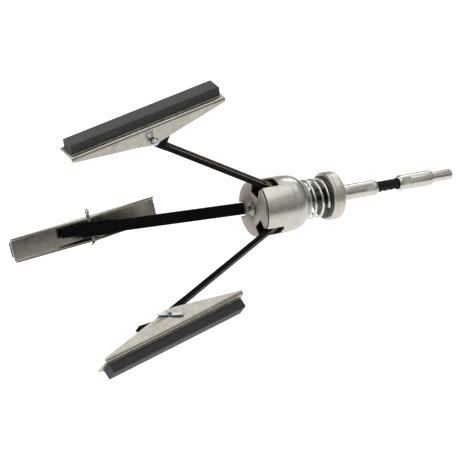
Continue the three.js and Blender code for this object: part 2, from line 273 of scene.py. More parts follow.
def prism(name, outline, along, low, high, cuts=0):
    """An outline extruded along one axis; its plane holds the other two axes, in order."""
    stations = [low + (high - low) * k / (cuts + 1) for k in range(cuts + 2)]
    put = {
        "x": lambda a, b, c: (c, a, b),
        "y": lambda a, b, c: (a, c, b),
        "z": lambda a, b, c: (a, b, c),
    }[along]
    points = rounded(outline)
    return loft(name, [[put(a, b, c) for a, b in points] for c in stations])


def bake(obj):
    """Applies the object's modifiers to its mesh."""
    bpy.context.view_layer.update()
    graph = bpy.context.evaluated_depsgraph_get()
    data = bpy.data.meshes.new_from_object(obj.evaluated_get(graph))
    obj.modifiers.clear()
    old = obj.data
    obj.data = data
    bpy.data.meshes.remove(old)
    return obj


def combine(obj, others, operation="DIFFERENCE"):
    """Cuts, joins or intersects obj with the others, which are used up."""
    for other in others:
        modifier = obj.modifiers.new("combine", "BOOLEAN")
        modifier.operation = operation
        modifier.solver = "EXACT"
        modifier.object = other
    bake(obj)
    for other in others:
        bpy.data.objects.remove(other)
    return obj


def soften(obj, width, segments=2, angle=28):
    """Rounds the sharp edges by width, in mm."""
    modifier = obj.modifiers.new("soften", "BEVEL")
    modifier.width = width * MM
    modifier.segments = segments
    modifier.limit_method = "ANGLE"
    modifier.angle_limit = math.radians(angle)
    modifier.use_clamp_overlap = True
    return bake(obj)


def smooth(obj, angle=34):
    for polygon in obj.data.polygons:
        polygon.use_smooth = True
    obj.data.set_sharp_from_angle(angle=math.radians(angle))
    return obj


def turned_copies(obj):
    """obj, made for the top arm, and its copies for the other two arms' places round the axis."""
    copies = []
    for degrees in SIDES.values():
        copy = new_object(obj.name, obj.data.copy())
        copy.data.transform(Matrix.Rotation(math.radians(degrees), 4, "X"))
        copies.append(copy)
    bpy.data.objects.remove(obj)
    return copies


def block(name, x, y, z):
    """A box from (low, high) pairs."""
    outline = [(y[0], z[0]), (y[1], z[0]), (y[1], z[1]), (y[0], z[1])]
    return prism(name, outline, "x", x[0], x[1])


def crossbar(name, x, z, radius, half_length, chamfer=0.0, segments=40):
    """A round bar across Y, with rounded ends."""
    ends = [(-half_length, radius, chamfer), (half_length, radius, chamfer)]
    profile = rounded([(-half_length, 0)] + ends + [(half_length, 0)])
    rings = []
    for k in range(segments):
        angle = 2 * math.pi * k / segments
        rings.append([(x + r * math.cos(angle), y, z + r * math.sin(angle)) for y, r in profile])
    return loft(name, rings, looped=True)


# ---- Materials
class Look:
    """A Principled material that is wired up piece by piece."""

    def __init__(self, name, **uniform):
        self.material = bpy.data.materials.new(name)
        self.material.use_nodes = True
        self.tree = self.material.node_tree
        self.shader = self.tree.nodes["Principled BSDF"]
        for key, value in uniform.items():
            self.shader.inputs[key.replace("_", " ")].default_value = value
        self.place = self.add("ShaderNodeTexCoord").outputs["Object"]

    def add(self, kind, inputs=None, **attributes):
        node = self.tree.nodes.new(kind)
        for key, value in attributes.items():
            setattr(node, key, value)
        for key, value in (inputs or {}).items():
            if isinstance(value, bpy.types.NodeSocket):
                self.tree.links.new(value, node.inputs[key])
            else:
                node.inputs[key].default_value = value
        return node

    def math(self, operation, a, b=0.0):
        return self.add("ShaderNodeMath", {0: a, 1: b}, operation=operation).outputs[0]

    def near(self, value, target, reach):
        """1 where value is within reach of target, 0 elsewhere."""
        inputs = {0: value, 1: target, 2: reach}
        return self.add("ShaderNodeMath", inputs, operation="COMPARE").outputs[0]

    def vector(self, operation, output, *values):
        node = self.add("ShaderNodeVectorMath", dict(enumerate(values)), operation=operation)
        return node.outputs[output]

    def stretched(self, x, y, z):
        """Object coordinates in mm, times these factors."""
        scale = (x / MM, y / MM, z / MM)
        return self.add("ShaderNodeMapping", {"Vector": self.place, "Scale": scale}).outputs[0]

    def axes(self):
        """Object coordinates in mm, as x, y and z."""
        return self.add("ShaderNodeSeparateXYZ", {0: self.stretched(1, 1, 1)}).outputs

    def round_axis(self, per_mm):
        """Coordinates that hold still round X, so that a noise in them makes turning marks."""
        parts = self.axes()
        across = self.add("ShaderNodeCombineXYZ", {1: parts[1], 2: parts[2]}).outputs[0]
        radius = self.vector("LENGTH", "Value", across)
        drift = self.math("MULTIPLY", parts[1], 0.004)
        joined = self.add("ShaderNodeCombineXYZ", {0: parts[0], 1: radius, 2: drift}).outputs[0]
        return self.vector("MULTIPLY", "Vector", joined, (per_mm,) * 3)

    def noise(self, vector, detail=3.0, rough=0.5, distortion=0.0):
        inputs = {"Vector": vector, "Scale": 1.0, "Detail": detail}
        inputs |= {"Roughness": rough, "Distortion": distortion}
        return self.add("ShaderNodeTexNoise", inputs).outputs[0]

    def cells(self, vector):
        return self.add("ShaderNodeTexVoronoi", {"Vector": vector, "Scale": 1.0}).outputs[0]

    def spread(self, value, low, high, out_low, out_high):
        """value, carried from the first range to the second and held within it."""
        inputs = {"Value": value, "From Min": low, "From Max": high}
        inputs |= {"To Min": out_low, "To Max": out_high}
        return self.add("ShaderNodeMapRange", inputs).outputs[0]

    def blend(self, share, one, two):
        """The colour that is this share of the way from one to two."""
        node = self.add("ShaderNodeMix", {0: share}, data_type="RGBA")
        for socket, value in ((node.inputs[6], one), (node.inputs[7], two)):
            if isinstance(value, bpy.types.NodeSocket):
                self.tree.links.new(value, socket)
            else:
                socket.default_value = (*value, 1)
        return node.outputs[2]

    def edges(self, radius, low, high):
        """1 on edges, 0 on flats."""
        worn = self.add("ShaderNodeBevel", {"Radius": radius * MM}, samples=4).outputs[0]
        flat = self.add("ShaderNodeNewGeometry").outputs["Normal"]
        likeness = self.vector("DOT_PRODUCT", "Value", worn, flat)
        return self.spread(self.math("SUBTRACT", 1.0, likeness), low, high, 0, 1)

    def relief(self, height, strength, depth):
        inputs = {"Height": height, "Strength": strength, "Distance": depth * MM}
        return self.add("ShaderNodeBump", inputs).outputs[0]

    def set(self, **sockets):
        for key, socket in sockets.items():
            self.tree.links.new(socket, self.shader.inputs[key.replace("_", " ")])
        return self.material


def turned_metal(name, dark, light, rough, marks_per_mm=6.0, depth=0.004, anisotropy=0.4, stains=()):
    """Metal off a lathe: fine rings round the axis, soft cloudy patches, lighter edges, and the bands
    of colour listed in stains, each given by the stations it starts and ends at and its colour; on the
    spindle one band is painted shade."""
    look = Look(name, Metallic=1.0, Anisotropic=anisotropy)
    marks = look.noise(look.round_axis(marks_per_mm), detail=4, rough=0.65)
    fine = look.noise(look.round_axis(marks_per_mm * 4), detail=2)
    clouds = look.noise(look.stretched(0.16, 0.16, 0.16), detail=4, rough=0.6, distortion=0.4)
    share = look.math("ADD", look.math("MULTIPLY", marks, 0.65), look.math("MULTIPLY", clouds, 0.35))
    tint = look.blend(look.spread(share, 0.36, 0.64, 0, 1), dark, light)
    # Lighter colour on the edges.
    edge = look.edges(0.35, 0.03, 0.3)
    tint = look.blend(look.math("MULTIPLY", edge, 0.5), tint, tuple(min(1.0, c * 1.25) for c in light))
    along = look.axes()[0]
    # The spindle's dark band is painted shade, where it runs inside the sleeve and the spring up to the
    # nut.
    for start, end, colour in stains:
        zone = look.near(along, FACE_X + (start + end) / 2, (end - start) / 2)
        strength = look.math("MULTIPLY", zone, look.spread(clouds, 0.3, 0.7, 1, 0.8))
        tint = look.blend(strength, tint, colour)
    roughness = look.spread(look.math("ADD", marks, clouds), 0.7, 1.3, rough[0], rough[1])
    tangent = look.add("ShaderNodeTangent", direction_type="RADIAL", axis="X").outputs[0]
    normal = look.relief(look.math("ADD", marks, look.math("MULTIPLY", fine, 0.5)), 0.6, depth)
    return look.set(Base_Color=tint, Roughness=roughness, Normal=normal, Tangent=tangent)


def zinc_sheet():
    """Zinc-plated sheet: rolled grain along the carrier, cloudy plating, stains, a painted reflection on
    the inside of its two walls and a painted highlight on its edges."""
    look = Look("zinc_sheet", Metallic=1.0)
    grain = look.noise(look.stretched(0.25, 7, 7), detail=4, rough=0.7)
    clouds = look.noise(look.stretched(0.22, 0.3, 0.3), detail=5, rough=0.65, distortion=0.8)
    specks = look.noise(look.stretched(1.1, 1.4, 1.4), detail=4, rough=0.7)
    tint = look.blend(look.spread(clouds, 0.35, 0.68, 0, 1), (0.33, 0.312, 0.275), (0.45, 0.428, 0.38))
    tint = look.blend(look.spread(specks, 0.35, 0.7, 0, 0.28), tint, (0.24, 0.225, 0.20))
    stains = look.noise(look.stretched(0.06, 0.22, 0.22), detail=5, rough=0.7, distortion=1.2)
    tint = look.blend(look.spread(stains, 0.5, 0.7, 0, 0.22), tint, (0.20, 0.175, 0.15))
    # Painted reflection: the inside faces of the two walls are lightened.
    across = look.math("ABSOLUTE", look.axes()[1])
    wall = look.near(across, SHOE_WIDTH / 2 - SHOE_GAUGE, 0.12)
    tint = look.blend(look.math("MULTIPLY", wall, 0.6), tint, (0.74, 0.70, 0.60))
    # Painted highlight: the edges and bends are lightened.
    edge = look.edges(0.3, 0.04, 0.3)
    tint = look.blend(look.math("MULTIPLY", edge, 0.6), tint, (0.86, 0.83, 0.75))
    roughness = look.spread(look.math("ADD", grain, clouds), 0.75, 1.3, 0.15, 0.3)
    height = look.math("ADD", look.math("MULTIPLY", grain, 0.6), specks)
    return look.set(Base_Color=tint, Roughness=roughness, Normal=look.relief(height, 0.35, 0.012))


def black_steel():
    """Blackened arm: oily dark finish, edges lightened by wear and a painted highlight, painted reflection
    on rims and inner walls.
    """
    look = Look("black_steel", Specular_IOR_Level=0.05)
    drawn = look.noise(look.stretched(0.2, 5, 5), detail=4, rough=0.6)
    blotches = look.noise(look.stretched(0.3, 0.5, 0.5), detail=4, rough=0.6)
    shade = look.spread(blotches, 0.35, 0.7, 0, 1)
    tint = look.blend(shade, (0.0015, 0.0018, 0.0021), (0.006, 0.006, 0.0058))
    # Edges lightened to taupe: partly rubbed wear, partly a painted highlight.
    edge = look.edges(0.4, 0.05, 0.4)
    rubbed = look.math("MULTIPLY", edge, look.spread(blotches, 0.38, 0.62, 0.15, 0.8))
    tint = look.blend(rubbed, tint, (0.19, 0.165, 0.145))
    roughness = look.spread(look.math("ADD", drawn, blotches), 0.75, 1.3, 0.28, 0.5)
    # Painted reflection: the wall rims and inner walls along the shaft are lightened to taupe.
    x, y, z = look.axes()
    rim = look.near(z, WALL_TOP, 0.15)
    wall = look.near(look.math("ABSOLUTE", y), ARM_WIDTH / 2 - ARM_GAUGE, 0.12)
    inside = look.math("MULTIPLY", wall, look.math("GREATER_THAN", z, 0.1))
    shaft = look.math("GREATER_THAN", x, EAR_REAR - ARM_LENGTH)
    painted_reflection = look.math("MULTIPLY", look.math("MAXIMUM", rim, inside), shaft)
    painted_reflection = look.math("MULTIPLY", painted_reflection, look.spread(blotches, 0.3, 0.6, 0.4, 0.95))
    tint = look.blend(painted_reflection, tint, (0.20, 0.165, 0.14))
    return look.set(Base_Color=tint, Roughness=roughness, Normal=look.relief(drawn, 0.4, 0.02))


def bright_wire(name, light, rough):
    """Drawn, plated wire."""
    look = Look(name, Metallic=1.0)
    mottle = look.noise(look.stretched(1.1, 1.1, 1.1), detail=4, rough=0.6)
    fine = look.noise(look.stretched(6, 6, 6), detail=3)
    dark = tuple(c * 0.72 for c in light)
    tint = look.blend(look.spread(mottle, 0.35, 0.62, 0, 1), dark, light)
    roughness = look.spread(mottle, 0.3, 0.7, rough[0], rough[1])
    return look.set(Base_Color=tint, Roughness=roughness, Normal=look.relief(fine, 0.25, 0.006))


def dark_steel():
    """Hardened, oiled steel, inside the hub and on the spring's seat."""
    look = Look("dark_steel", Metallic=1.0)
    marks = look.noise(look.round_axis(5), detail=4, rough=0.6)
    stain = look.noise(look.stretched(0.4, 0.4, 0.4), detail=4)
    tint = look.blend(look.spread(stain, 0.35, 0.65, 0, 1), (0.045, 0.042, 0.040), (0.14, 0.13, 0.12))
    roughness = look.spread(marks, 0.3, 0.7, 0.32, 0.5)
    return look.set(Base_Color=tint, Roughness=roughness, Normal=look.relief(marks, 0.4, 0.006))


def cable_black():
    """Black-coated wire rope with an oily sheen."""
    look = Look("cable_black", Specular_IOR_Level=0.12)
    grime = look.noise(look.stretched(0.6, 0.6, 0.6), detail=5, rough=0.7)
    fine = look.noise(look.stretched(5, 5, 5), detail=3)
    tint = look.blend(look.spread(grime, 0.35, 0.7, 0, 1), (0.004, 0.004, 0.005), (0.018, 0.017, 0.016))
    roughness = look.spread(grime, 0.3, 0.7, 0.38, 0.62)
    return look.set(Base_Color=tint, Roughness=roughness, Normal=look.relief(fine, 0.5, 0.03))


def abrasive():
    """Sintered grit: charcoal grains of mixed greys, painted light on the working face, and a paler
    front end and edges."""
    look = Look("abrasive", Specular_IOR_Level=0.35)
    grains = look.cells(look.stretched(4.5, 4.5, 4.5))
    grit = look.noise(look.stretched(1.3, 1.3, 1.3), detail=5, rough=0.85)
    streaks = look.noise(look.stretched(0.12, 0.6, 0.6), detail=4, rough=0.6)
    tint = look.blend(look.spread(grit, 0.35, 0.68, 0, 1), (0.010, 0.011, 0.0105), (0.050, 0.054, 0.052))
    tint = look.blend(look.spread(streaks, 0.4, 0.7, 0, 0.35), tint, (0.06, 0.066, 0.063))
    parts = look.axes()
    # Painted light: the working face is lightened, standing in for the light that falls on it.
    top = SHOE_TOP + STONE_GAP + STONE_HEIGHT
    face = look.spread(parts[2], top - 0.35, top - 0.1, 0, 1)
    worn = look.math("MULTIPLY", face, look.spread(grit, 0.3, 0.65, 0.15, 0.85))
    tint = look.blend(worn, tint, (0.12, 0.131, 0.125))
    front = look.near(parts[0], STONE_FRONT, 0.1)
    sawn = look.math("MULTIPLY", front, look.spread(grit, 0.3, 0.65, 0.3, 0.9))
    tint = look.blend(sawn, tint, (0.075, 0.084, 0.09))
    tint = look.blend(look.math("MULTIPLY", look.edges(0.5, 0.05, 0.4), 0.4), tint, (0.19, 0.20, 0.19))
    roughness = look.spread(grit, 0.3, 0.7, 0.72, 0.95)
    height = look.math("ADD", look.math("MULTIPLY", grains, 0.7), grit)
    return look.set(Base_Color=tint, Roughness=roughness, Normal=look.relief(height, 0.7, 0.12))


def resin():
    """The thin bed of cement under each stone."""
    look = Look("resin", Specular_IOR_Level=0.5)
    lumps = look.noise(look.stretched(0.5, 1.5, 1.5), detail=4)
    tint = look.blend(look.spread(lumps, 0.35, 0.65, 0, 1), (0.10, 0.098, 0.08), (0.30, 0.285, 0.22))
    roughness = look.spread(lumps, 0.3, 0.7, 0.3, 0.6)
    return look.set(Base_Color=tint, Roughness=roughness, Normal=look.relief(lumps, 0.6, 0.15))


# Painted shade on the spindle inside the sleeve and the spring; the rivet head's own grey.
SPINDLE_SHADE = (0.022, 0.024, 0.020)
RIVET_GREY = (0.27, 0.275, 0.245)
SPINDLE_SHADE_AND_RIVET_GREY = [(30, 52, SPINDLE_SHADE), (-2, 0, RIVET_GREY)]
PLATE_STEEL = turned_metal(
    "plate_steel", (0.24, 0.21, 0.185), (0.37, 0.33, 0.30), (0.34, 0.46), anisotropy=0.15
)
NUT_STEEL = turned_metal(
    "nut_steel", (0.45, 0.42, 0.38), (0.60, 0.565, 0.52), (0.30, 0.42), anisotropy=0.2
)
SLEEVE_METAL = turned_metal(
    "sleeve_metal", (0.41, 0.395, 0.355), (0.59, 0.575, 0.53), (0.22, 0.36), 4.0
)
CHROME = turned_metal(
    "satin_chrome", (0.44, 0.43, 0.39), (0.60, 0.585, 0.54), (0.16, 0.28), 3.0, 0.003, 0.0
)
SPINDLE_STEEL = turned_metal(
    "spindle_steel", (0.42, 0.41, 0.37), (0.58, 0.565, 0.52), (0.18, 0.30), 3.0, 0.003, 0.0, SPINDLE_SHADE_AND_RIVET_GREY
)
ZINC = zinc_sheet()
BLACK = black_steel()
DARK = dark_steel()
SPRING_WIRE = bright_wire("spring_wire", (0.72, 0.73, 0.72), (0.08, 0.16))
PIN_WIRE = bright_wire("pin_wire", (0.52, 0.57, 0.61), (0.14, 0.3))
CABLE = cable_black()
STONE = abrasive()
RESIN = resin()


def dress(obj, material, nodes=()):
    obj.data.materials.clear()
    obj.data.materials.append(material)
    if nodes:
        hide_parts(*nodes)
    return obj


# ---- Drive end
def press_marks(obj, start, end, depth):
    """Crimps a turned piece: squeezes it inwards at evenly spaced places between two stations."""
    middle, half = (start + end) / 2, (end - start) / 2
    for vertex in obj.data.vertices:
        u = vertex.co.x / MM - FACE_X
        across = Vector((vertex.co.y, vertex.co.z))
        if abs(u - middle) > half or across.length < CRIMP_SKIN_R * MM:
            continue
        angle = math.atan2(across.y, across.x)
        near = max(0.0, math.cos(CRIMP_SIDES * (angle - math.pi / CRIMP_SIDES)))
        edge = min(1.0, (half - abs(u - middle)) / 0.8)
        press = 1 - depth * MM / across.length * near**0.6 * edge * edge * (3 - 2 * edge)
        vertex.co.y *= press
        vertex.co.z *= press


def steps_between(low, high, count):
    """The stations that divide a stretch into count equal parts."""
    return [low + (high - low) * k / count for k in range(1, count)]


def make_shank():
    profile = [(SHANK_START, 0), (SHANK_START, SHANK_R), (SHANK_END, SHANK_R, 0.9), (SHANK_END, 0)]
    shank = smooth(lathe("shank_body", profile))
    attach(dress(shank, CHROME, ["drill_shank"]), "shank")


def make_coupling():
    bore, core, fit = CABLE_R + 0.3, 1.2, SHANK_R + 0.1
    grip = (COUPLING_START + 1.6, COUPLING_START + 9.6)
    outer = [(COUPLING_START, 4.5, 0.25), (COUPLING_START + 1.4, COUPLING_R, 0.8)]
    outer += [(u, COUPLING_R) for u in steps_between(*grip, 24)]
    outer += [(COUPLING_END - 2.2, COUPLING_R, 1.2)]
    outer += [(COUPLING_END - 0.5, 4.9, 0.4), (COUPLING_END, 4.25, 0.2)]
    inner = [(COUPLING_END, fit), (SHANK_START - 0.4, fit), (SHANK_START - 0.4, core)]
    inner += [(CABLE_END + 1.6, core), (CABLE_END + 0.6, bore), (COUPLING_START, bore)]
    coupling = lathe("coupling_body", outer + inner)
    press_marks(coupling, *grip, 0.5)
    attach(dress(smooth(coupling), CHROME, ["shank_coupling"]), "shank")


def rope(name, start, end):
    """Twisted strands between two stations of the axis."""
    sides, steps = 14, 44
    path_r = CABLE_R - STRAND_R
    axis = Vector((1, 0, 0))
    bm = bmesh.new()
    for strand in range(CABLE_STRANDS):
        rows = []
        for k in range(steps + 1):
            u = start + (end - start) * k / steps
            turn = 2 * math.pi * (strand / CABLE_STRANDS + u / STRAND_LAY)
            out = Vector((0, math.cos(turn), math.sin(turn)))
            centre = Vector((FACE_X + u, 0, 0)) + out * path_r
            tangent = (axis + out.cross(axis) * (-2 * math.pi * path_r / STRAND_LAY)).normalized()
            side = tangent.cross(out)
            row = []
            for j in range(sides):
                angle = 2 * math.pi * j / sides
                across = out * math.cos(angle) + side * math.sin(angle)
                row.append(bm.verts.new(centre + across * STRAND_R))
            rows.append(row)
        for one, two in zip(rows, rows[1:]):
            for i in range(sides):
                j = (i + 1) % sides
                bm.faces.new((one[i], one[j], two[j], two[i]))
        bm.faces.new(rows[0])
        bm.faces.new(list(reversed(rows[-1])))
    return smooth(from_bmesh(name, bm), 60)


def make_cable():
    """Two halves, split halfway between the spindle and the coupling, one for each of the cable's two
    bends.
    """
    middle = (SPINDLE_END + COUPLING_START) / 2
    front = dress(rope("cable_front", CABLE_START, middle), CABLE, ["flex_cable"])
    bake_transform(front)
    rear = dress(rope("cable_rear", middle, CABLE_END), CABLE)
    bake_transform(rear)


# ---- Hub
def thread(start, end):
    """The profile of the spindle's thread, cut as rings, between two stations."""
    corners = []
    for k in range(int((end - start) / THREAD_PITCH)):
        root = start + k * THREAD_PITCH
        crest = (root + THREAD_PITCH * 0.42, root + THREAD_PITCH * 0.58)
        corners += [(root, SPINDLE_R - THREAD_DEPTH), (crest[0], SPINDLE_R), (crest[1], SPINDLE_R)]
    return corners


def make_spindle():
    """A riveted front end, a neck for the arm carrier, the thread and a crimped cable socket."""
    grip = (SPINDLE_END - 10.4, SPINDLE_END - 2.6)
    profile = [(-1.4, 0), (-1.45, 2.9, 0.3), (-0.95, 3.5, 0.3), (-0.25, 4.3, 0.15)]
    profile += [(-0.25, RIVET_R), (NECK_START, RIVET_R), (NECK_START, NECK_R)]
    profile += [(NECK_END, NECK_R), (NECK_END, SPINDLE_R), (THREAD_START, SPINDLE_R)]
    profile += thread(THREAD_START + 0.5, THREAD_END)
    profile += [(THREAD_END + 0.5, SPINDLE_R)]
    profile += [(u, SPINDLE_R) for u in steps_between(*grip, 24)]
    profile += [(SPINDLE_END - 2.2, SPINDLE_R, 0.8), (SPINDLE_END - 0.6, 4.8, 0.4)]
    profile += [(SPINDLE_END, 4.25, 0.2), (SPINDLE_END, CABLE_R + 0.3)]
    profile += [(CABLE_START - 0.4, CABLE_R + 0.3), (CABLE_START - 1.6, 0)]
    spindle = lathe("spindle_body", profile)
    press_marks(spindle, *grip, 0.45)
    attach(dress(smooth(spindle), SPINDLE_STEEL, ["spindle"]), "hub")


def make_front_plate():
    rim = [(0, PLATE_R, 0.45), (PLATE_T, PLATE_R, 0.2)]
    plate = lathe("front_plate_body", [(0, PLATE_BORE_R)] + rim + [(PLATE_T, PLATE_BORE_R)])
    half = NOTCH_W / 2
    outline = [(-half, NOTCH_FLOOR, 0.5), (half, NOTCH_FLOOR, 0.5), (half, CLEAR), (-half, CLEAR)]
    notch = prism("notch", outline, "x", FACE_X - 1, FACE_X + 3)
    soften(combine(plate, turned_copies(notch)), 0.16, 2)
    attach(dress(smooth(plate), PLATE_STEEL, ["front_plate"]), "hub")


def make_arm_carrier():
    fit = NECK_R + 0.2
    profile = [(CARRIER_FRONT, fit), (CARRIER_FRONT, CARRIER_R, 0.2)]
    profile += [(CARRIER_REAR, CARRIER_R, 0.4), (CARRIER_REAR, CARRIER_BORE_R)]
    profile += [(CARRIER_STEP, CARRIER_BORE_R), (CARRIER_STEP, fit)]
    core = lathe("arm_carrier_body", profile)
    half, behind = SLOT_W / 2, FACE_X + CARRIER_REAR + 3
    slot = block("slot", (FACE_X, behind), (-half, half), (NOTCH_FLOOR, CLEAR))
    toe_room = block("toe_room", (FACE_X + CARRIER_STEP, behind), (-half, half), (6, 12))
    pin_hole = crossbar("pin_hole", FACE_X + PIVOT_U, PIVOT_R, PIVOT_PIN_R + 0.25, CLEAR)
    combine(core, turned_copies(slot) + turned_copies(toe_room) + turned_copies(pin_hole))
    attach(dress(smooth(core), DARK, ["arm_carrier"]), "hub")


def make_pivot_pins():
    half = PIVOT_PIN_LENGTH / 2
    pin = crossbar("pivot_pin", FACE_X + PIVOT_U, PIVOT_R, PIVOT_PIN_R, half, 0.3)
    for side, copy in zip(SIDES, turned_copies(pin)):
        copy.name = f"pivot_pin_{side}_body"
        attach(dress(smooth(copy), DARK, [f"pivot_pin_{side}"]), "hub")


def make_sleeve():
    profile = [(SLEEVE_FRONT, SLEEVE_BORE_R), (SLEEVE_FLOOR, SLEEVE_BORE_R)]
    profile += [(SLEEVE_FLOOR, SLIDE_BORE_R), (SLEEVE_REAR, SLIDE_BORE_R)]
    profile += [(SLEEVE_REAR, COLLAR_R, 0.35), (CONE_END + 0.7, COLLAR_R, 0.6)]
    profile += [(CONE_END, COLLAR_R + 0.35, 0.4), (CONE_START + 2.6, SLEEVE_R - 2.05, 4)]
    profile += [(CONE_START, SLEEVE_R - 0.85, 4), (SHOULDER + 3.6, SLEEVE_R - 0.33, 8)]
    profile += [(SHOULDER + 0.35, SLEEVE_R - 0.25, 0.1), (SHOULDER, SLEEVE_R, 0.1)]
    profile += [(SLEEVE_FRONT, SLEEVE_R, 0.4)]
    sleeve = lathe("sleeve_body", profile, 240)
    half = SLEEVE_SLOT_W / 2
    end = FACE_X + SLEEVE_SLOT_END
    outline = [(FACE_X - 3, -half), (end, -half, 1.6), (end, half, 1.6), (FACE_X - 3, half)]
    combine(sleeve, turned_copies(prism("sleeve_slot", outline, "z", 10, CLEAR)))
    soften(sleeve, 0.18, 2, 40)
    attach(dress(smooth(sleeve), SLEEVE_METAL, ["hub_sleeve"]), "sleeve")


def make_thrust_ring():
    profile = [(THRUST_FRONT, SLIDE_BORE_R), (THRUST_FRONT, THRUST_R, 0.4)]
    profile += [(THRUST_REAR, THRUST_R, 0.2), (THRUST_REAR, SLIDE_BORE_R)]
    ring = lathe("thrust_ring_body", profile)
    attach(dress(smooth(ring), DARK, ["thrust_ring"]), "sleeve")


def coil(name, first, last):
    """Part of the spring, from one share of its length to another; its end turns lie flatter."""
    sides = 20
    start = SPRING_START + SPRING_WIRE_R
    rise = SPRING_END - SPRING_WIRE_R - start

    def point(t):
        ease = t - math.sin(2 * math.pi * t) * SPRING_CLOSING / (2 * math.pi)
        angle = 2 * math.pi * SPRING_TURNS * t
        y, z = SPRING_MEAN_R * math.cos(angle), SPRING_MEAN_R * math.sin(angle)
        return Vector((FACE_X + start + rise * ease, y, z))

    count = round(SPRING_STEPS * (last - first))
    rings = []
    for k in range(count + 1):
        t = first + (last - first) * k / count
        centre = point(t)
        tangent = (point(t + 1e-4) - point(t - 1e-4)).normalized()
        out = Vector((0, centre.y, centre.z)).normalized()
        side = tangent.cross(out)
        ring = []
        for j in range(sides):
            angle = 2 * math.pi * j / sides
            across = out * math.cos(angle) + side * math.sin(angle)
            ring.append(centre + across * SPRING_WIRE_R)
        rings.append(ring)
    return smooth(loft(name, rings), 60)


def make_spring():
    """Two halves: the sleeve presses on the front one and the seat on the rear one."""
    front = dress(coil("spring_front", 0.0, 0.5), SPRING_WIRE, ["spring"])
    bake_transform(front)
    rear = dress(coil("spring_rear", 0.5, 1.0), SPRING_WIRE)
    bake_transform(rear)


def make_seat():
    rear = SEAT_FRONT + SEAT_T
    rim = [(SEAT_FRONT, SEAT_R, 0.3), (rear, SEAT_R, 0.2)]
    seat = lathe("spring_seat_body", [(SEAT_FRONT, NUT_BORE_R)] + rim + [(rear, NUT_BORE_R)])
    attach(dress(smooth(seat), DARK, ["spring_seat"]), "seat")


def make_nut():
    profile = [(NUT_FRONT, NUT_BORE_R), (NUT_FRONT, NUT_R - 1, 0.2), (NUT_FRONT + 0.8, NUT_R, 0.5)]
    profile += [(NUT_FRONT + 2.25, NUT_R, 0.15), (NUT_FRONT + 2.5, NUT_R - 0.35)]
    profile += [(NUT_FRONT + 2.75, NUT_R, 0.15), (NUT_REAR - 1.9, NUT_R, 1.8)]
    profile += [(NUT_REAR, NUT_R - 2.1, 1.6), (NUT_REAR, NUT_BORE_R + 0.9, 0.4)]
    profile += [(NUT_REAR - 0.8, NUT_BORE_R)]
    nut = lathe("tension_nut_body", profile)
    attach(dress(smooth(nut), NUT_STEEL, ["tension_nut"]), "nut")


# ---- Arms and carriers: shapes in their own frames, then placed by the record's joints and mounts
JOINTS = {joint["name"]: joint for joint in frame["joints"]}
MOUNTS = {mount["name"]: mount for mount in frame["record"]["mounts"]}


def carrier_place(side):
    """The carrier's frame: split pin at the origin, stone towards +Z, rear end towards +X."""
    tilt = JOINTS[f"carrier_{side}_tilt"]
    across = -Vector(tilt["axis"]).normalized()
    out = Vector(MOUNTS[f"stone_face_{side}"]["axis"]).normalized()
    along = across.cross(out).normalized()
    return columns(along, across, along.cross(across), Vector(tilt["pos_m"]))


def arm_place(side):
    """The arm's frame: pivot at the origin, arm along -X, open side of its channel to +Z."""
    pivot = Vector(JOINTS[f"arm_{side}_swing"]["pos_m"])
    across = Vector(JOINTS[f"arm_{side}_swing"]["axis"]).normalized()
    reach = Vector(JOINTS[f"carrier_{side}_tilt"]["pos_m"]) - pivot
    lean = math.atan2(PIN_OFFSET, ARM_LENGTH)
    ahead = reach.normalized()
    beside = across.cross(ahead)
    along = -ahead * math.cos(lean) + beside * math.sin(lean)
    return columns(along, across, along.cross(across), pivot)


def copy_to(obj, name, place):
    copy = new_object(name, obj.data.copy())
    copy.matrix_world = place
    return copy


def arm_side_outline():
    """The arm from the side: pivot at 0, split pin at -ARM_LENGTH, a bent tongue past it."""
    pin = -ARM_LENGTH
    tongue = [
        (pin - 8, WEB_INNER),
        (pin - 18.4, WEB_INNER - 3.5, 0.4),
        (pin - 18.6, WEB_INNER - 2.6, 0.4),
        (pin - 17, WEB_INNER - 1.2, 1),
        (pin - 14, WEB_INNER + 0.6, 2),
        (pin - 8, WALL_TOP - 0.9, 1),
        (pin - 6.5, WALL_TOP, 0.8),
    ]
    ear = [
        (pin - 4.6, PIN_OFFSET + 2.6, 1.2),
        (pin - 1, PIN_OFFSET + 4.6, 1.5),
        (pin + 9.5, PIN_OFFSET + 6.9, 1.2),
        (pin + 11.6, PIN_OFFSET + 7, 0.8),
        (pin + 12.4, PIN_OFFSET + 6.2, 0.8),
        (pin + 14.3, WALL_TOP - 0.4, 1.4),
        (pin + EAR_REAR, WALL_TOP, 1),
    ]
    return [(-2, WEB_INNER)] + tongue + ear + [(-2, WALL_TOP)]


def arm_plan(front, rear, wall):
    """The arm from above, less wall on each side."""
    pin = -ARM_LENGTH
    tongue, head, shaft = (w / 2 - wall for w in (TONGUE_WIDTH, HEAD_WIDTH, ARM_WIDTH))
    side = [(front, tongue), (pin - 8.5, tongue, 0.5), (pin - 5.5, head, 0.8)]
    side += [(pin + 12.5, head, 2), (pin + 19, shaft, 3), (rear, shaft)]
    return side + [(x, -y, *more) for x, y, *more in reversed(side)]


